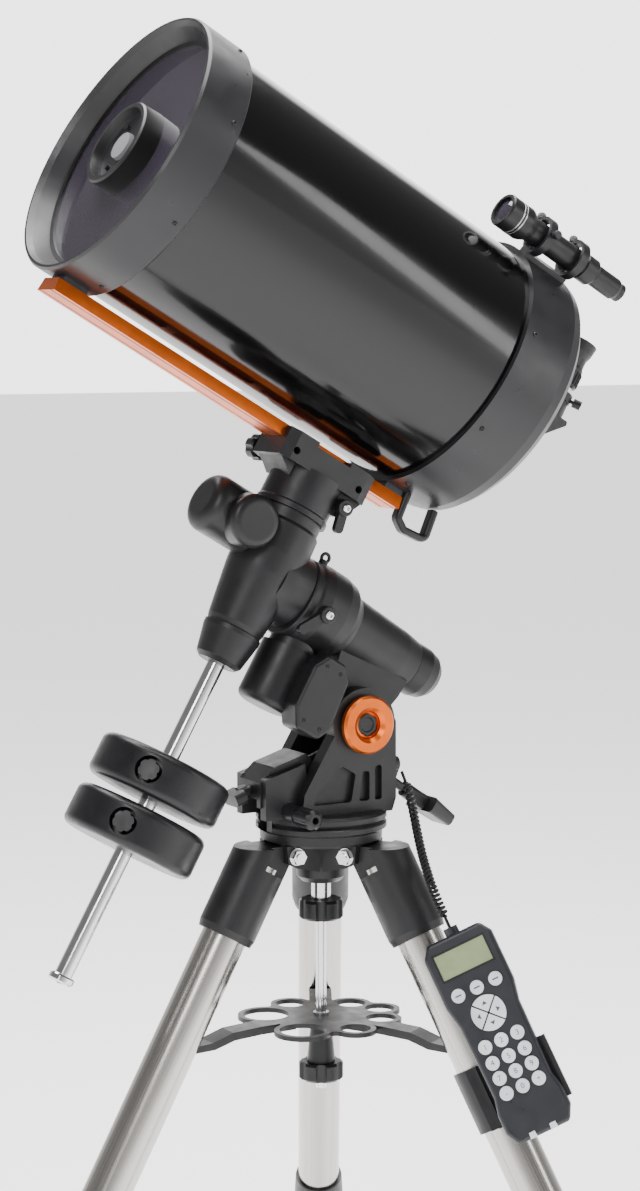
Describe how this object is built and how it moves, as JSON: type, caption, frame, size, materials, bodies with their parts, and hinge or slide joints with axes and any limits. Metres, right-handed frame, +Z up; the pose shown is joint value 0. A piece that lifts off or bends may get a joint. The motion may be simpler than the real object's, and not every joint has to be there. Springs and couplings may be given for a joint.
{
  "type": "schmidt cassegrain telescope",
  "caption": "Schmidt-Cassegrain telescope on a motorised German equatorial mount with sliding counterweights, a steel tripod, finder and hand control.",
  "frame": {"origin": "on the floor under the tripod's centre", "axes": "+Z up; -X is north, the side that the polar axis and the telescope's front point to; the declination axis lies in the XZ plane"},
  "size_m": [0.8691, 0.8576, 1.6135],
  "materials": {
    "black_casting": "powder-coated, fine texture",
    "black_plastic": "moulded, satin",
    "bright_steel": "polished lengthways",
    "chromed_steel": "polished",
    "orange_anodised": "anodised, satin",
    "gloss_black_tube": "gloss lacquer",
    "black_iron": "textured paint",
    "black_rubber": "matte",
    "grey_rubber_keys": "matte",
    "coated_glass": "coated, faint violet",
    "mirror_glass": "aluminised",
    "green_display": "display window"
  },
  "bodies": {
    "tripod": {"tripod_hub": "black_casting", "leg_pivot_bolts": "chromed_steel", "leg_collars": "black_casting", "leg_tubes": "bright_steel", "leg_clamps": "black_casting", "central_rod": "chromed_steel", "accessory_tray": "black_casting", "handset_holder": "black_plastic", "handset_shell": "black_plastic", "display_window": "green_display", "handset_cord": "black_rubber"},
    "leg_north": {"leg_extension_north": "bright_steel", "foot_north": "black_rubber"},
    "leg_lock_north": {"leg_lock_north": "black_plastic"},
    "leg_right": {"leg_extension_right": "bright_steel", "foot_right": "black_rubber"},
    "leg_lock_right": {"leg_lock_right": "black_plastic"},
    "leg_rear": {"leg_extension_rear": "bright_steel", "foot_rear": "black_rubber"},
    "leg_lock_rear": {"leg_lock_rear": "black_plastic"},
    "rod_knob": {"rod_knob": "black_plastic"},
    "tray_knob": {"tray_knob": "black_plastic"},
    "round_keys": {"round_keys": "grey_rubber_keys"},
    "arrow_keys": {"arrow_keys": "grey_rubber_keys"},
    "azimuth": {"mount_base": "black_casting", "latitude_caps": "orange_anodised"},
    "azimuth_screw_left": {"azimuth_screw_left": "black_plastic"},
    "azimuth_screw_right": {"azimuth_screw_right": "black_plastic"},
    "latitude_screw_front": {"latitude_screw_front": "black_plastic"},
    "latitude_screw_rear": {"latitude_screw_rear": "black_plastic"},
    "latitude": {"polar_housing": "black_casting", "ra_motor_cover": "black_plastic"},
    "polar_scope_cap": {"polar_scope_cap": "black_plastic"},
    "ra_clutch_lever": {"ra_clutch_lever": "black_plastic"},
    "right_ascension": {"dec_housing": "black_casting", "dec_motor_cover": "black_plastic", "counterweight_shaft": "chromed_steel"},
    "shaft_end_screw": {"shaft_end_screw": "chromed_steel"},
    "counterweight_upper": {"counterweight_upper": "black_iron"},
    "weight_lock_upper": {"weight_lock_upper": "black_plastic"},
    "counterweight_lower": {"counterweight_lower": "black_iron"},
    "weight_lock_lower": {"weight_lock_lower": "black_plastic"},
    "declination": {"saddle": "black_casting"},
    "dec_clutch_lever": {"dec_clutch_lever": "black_plastic"},
    "saddle_knob_front": {"saddle_knob_front": "black_plastic"},
    "saddle_knob_rear": {"saddle_knob_rear": "black_plastic"},
    "telescope": {"dovetail_rail": "orange_anodised", "front_cell": "black_casting", "corrector_plate": "coated_glass", "secondary_cell": "black_casting", "optical_tube": "gloss_black_tube", "rear_cell": "black_casting", "baffle_tube": "black_plastic", "finder_bracket": "black_casting", "finder_scope": "black_plastic", "carry_handle": "black_plastic"},
    "focus_knob": {"focus_knob": "black_plastic"},
    "primary_mirror": {"primary_mirror": "mirror_glass"},
    "star_diagonal": {"star_diagonal": "black_plastic"},
    "eyepiece": {"eyepiece": "black_plastic"}
  },
  "joints": [
    {"name": "leg_extend_north", "type": "slide", "parent": "tripod", "child": "leg_north", "axis": [-0.4848, 0, -0.8746], "range_m": [0, 0.49]},
    {"name": "leg_lock_north_turn", "type": "hinge", "parent": "tripod", "child": "leg_lock_north", "pos_m": [-0.41333, 0, 0.17343], "axis": [-0.8746, 0, 0.4848], "range_deg": [0, 720]},
    {"name": "leg_extend_right", "type": "slide", "parent": "tripod", "child": "leg_right", "axis": [0.2424, -0.4199, -0.8746], "range_m": [0, 0.49]},
    {"name": "leg_lock_right_turn", "type": "hinge", "parent": "tripod", "child": "leg_lock_right", "pos_m": [0.20667, -0.35796, 0.17343], "axis": [0.4373, -0.7574, 0.4848], "range_deg": [0, 720]},
    {"name": "leg_extend_rear", "type": "slide", "parent": "tripod", "child": "leg_rear", "axis": [0.2424, 0.4199, -0.8746], "range_m": [0, 0.49]},
    {"name": "leg_lock_rear_turn", "type": "hinge", "parent": "tripod", "child": "leg_lock_rear", "pos_m": [0.20667, 0.35796, 0.17343], "axis": [0.4373, 0.7574, 0.4848], "range_deg": [0, 720]},
    {"name": "rod_knob_turn", "type": "hinge", "parent": "tripod", "child": "rod_knob", "pos_m": [0, 0, 0.62], "axis": [0, 0, -1], "range_deg": [0, 720]},
    {"name": "tray_knob_turn", "type": "hinge", "parent": "tripod", "child": "tray_knob", "pos_m": [0, 0, 0.438], "axis": [0, 0, -1], "range_deg": [0, 720]},
    {"name": "round_keys_press", "type": "slide", "parent": "tripod", "child": "round_keys", "axis": [0.5826, 0.7838, -0.2148], "range_m": [0, 0.0012], "stiffness_N_per_m": 800},
    {"name": "arrow_keys_press", "type": "slide", "parent": "tripod", "child": "arrow_keys", "axis": [0.5826, 0.7838, -0.2148], "range_m": [0, 0.0012], "stiffness_N_per_m": 800},
    {"name": "azimuth", "type": "hinge", "parent": "tripod", "child": "azimuth", "pos_m": [0, 0, 0.711], "axis": [0, 0, 1], "range_deg": [-5, 5]},
    {"name": "azimuth_screw_left_turn", "type": "hinge", "parent": "azimuth", "child": "azimuth_screw_left", "pos_m": [-0.06, -0.06, 0.738], "axis": [0, -1, 0], "range_deg": [0, 720]},
    {"name": "azimuth_screw_right_turn", "type": "hinge", "parent": "azimuth", "child": "azimuth_screw_right", "pos_m": [-0.06, 0.06, 0.738], "axis": [0, 1, 0], "range_deg": [0, 720]},
    {"name": "latitude_screw_front_turn", "type": "hinge", "parent": "azimuth", "child": "latitude_screw_front", "pos_m": [-0.104, 0, 0.7569], "axis": [-0.9413, 0, -0.3376], "range_deg": [0, 720]},
    {"name": "latitude_screw_rear_turn", "type": "hinge", "parent": "azimuth", "child": "latitude_screw_rear", "pos_m": [0.128, 0, 0.7318], "axis": [0.8108, 0, -0.5853], "range_deg": [0, 720]},
    {"name": "latitude", "type": "hinge", "parent": "azimuth", "child": "latitude", "pos_m": [0.02915, 0, 0.83106], "axis": [0, 1, 0], "range_deg": [-4, 25]},
    {"name": "polar_cap_pull", "type": "slide", "parent": "latitude", "child": "polar_scope_cap", "axis": [0.866, 0, -0.5], "range_m": [0, 0.03]},
    {"name": "ra_clutch", "type": "hinge", "parent": "latitude", "child": "ra_clutch_lever", "pos_m": [-0.02511, -0.051, 0.95707], "axis": [0, -1, 0], "range_deg": [0, 45]},
    {"name": "right_ascension", "type": "hinge", "parent": "latitude", "child": "right_ascension", "pos_m": [-0.08, 0, 0.998], "axis": [-0.866, 0, 0.5], "range_deg": [-90, 90]},
    {"name": "shaft_end_screw_turn", "type": "hinge", "parent": "right_ascension", "child": "shaft_end_screw", "pos_m": [-0.321, 0, 0.58058], "axis": [-0.5, 0, -0.866], "range_deg": [0, 720]},
    {"name": "counterweight_upper_slide", "type": "slide", "parent": "right_ascension", "child": "counterweight_upper", "axis": [0.5, 0, 0.866], "range_m": [0, 0.1]},
    {"name": "weight_lock_upper_turn", "type": "hinge", "parent": "counterweight_upper", "child": "weight_lock_upper", "pos_m": [-0.2384, -0.04596, 0.80078], "axis": [-0.5567, -0.766, 0.3214], "range_deg": [0, 720]},
    {"name": "counterweight_lower_slide", "type": "slide", "parent": "right_ascension", "child": "counterweight_lower", "axis": [-0.5, 0, -0.866], "range_m": [0, 0.13]},
    {"name": "weight_lock_lower_turn", "type": "hinge", "parent": "counterweight_lower", "child": "weight_lock_lower", "pos_m": [-0.2684, -0.04596, 0.74882], "axis": [-0.5567, -0.766, 0.3214], "range_deg": [0, 720]},
    {"name": "declination", "type": "hinge", "parent": "right_ascension", "child": "declination", "pos_m": [-0.041, 0, 1.06555], "axis": [0.5, 0, 0.866], "range_deg": [-180, 180]},
    {"name": "dec_clutch", "type": "hinge", "parent": "declination", "child": "dec_clutch_lever", "pos_m": [0.01051, -0.0284, 1.07276], "axis": [0, -1, 0], "range_deg": [0, 30]},
    {"name": "saddle_knob_front_turn", "type": "hinge", "parent": "declination", "child": "saddle_knob_front", "pos_m": [-0.05184, 0.045, 1.13878], "axis": [0, 1, 0], "range_deg": [0, 720]},
    {"name": "saddle_knob_rear_turn", "type": "hinge", "parent": "declination", "child": "saddle_knob_rear", "pos_m": [0.02784, 0.045, 1.09278], "axis": [0, 1, 0], "range_deg": [0, 720]},
    {"name": "telescope_slide", "type": "slide", "parent": "declination", "child": "telescope", "axis": [-0.866, 0, 0.5], "range_m": [-0.05, 0.03]},
    {"name": "focus", "type": "hinge", "parent": "telescope", "child": "focus_knob", "pos_m": [0.23205, 0.092, 1.15848], "axis": [0.866, 0, -0.5], "range_deg": [-1800, 1800]},
    {"name": "mirror_focus", "type": "slide", "parent": "telescope", "child": "primary_mirror", "axis": [-0.866, 0, 0.5], "range_m": [-0.004, 0.004]},
    {"name": "diagonal_turn", "type": "hinge", "parent": "telescope", "child": "star_diagonal", "pos_m": [0.25571, 0, 1.17946], "axis": [-0.866, 0, 0.5], "range_deg": [-180, 180]},
    {"name": "eyepiece_pull", "type": "slide", "parent": "star_diagonal", "child": "eyepiece", "axis": [0.5, 0, 0.866], "range_m": [0, 0.05]}
  ]
}
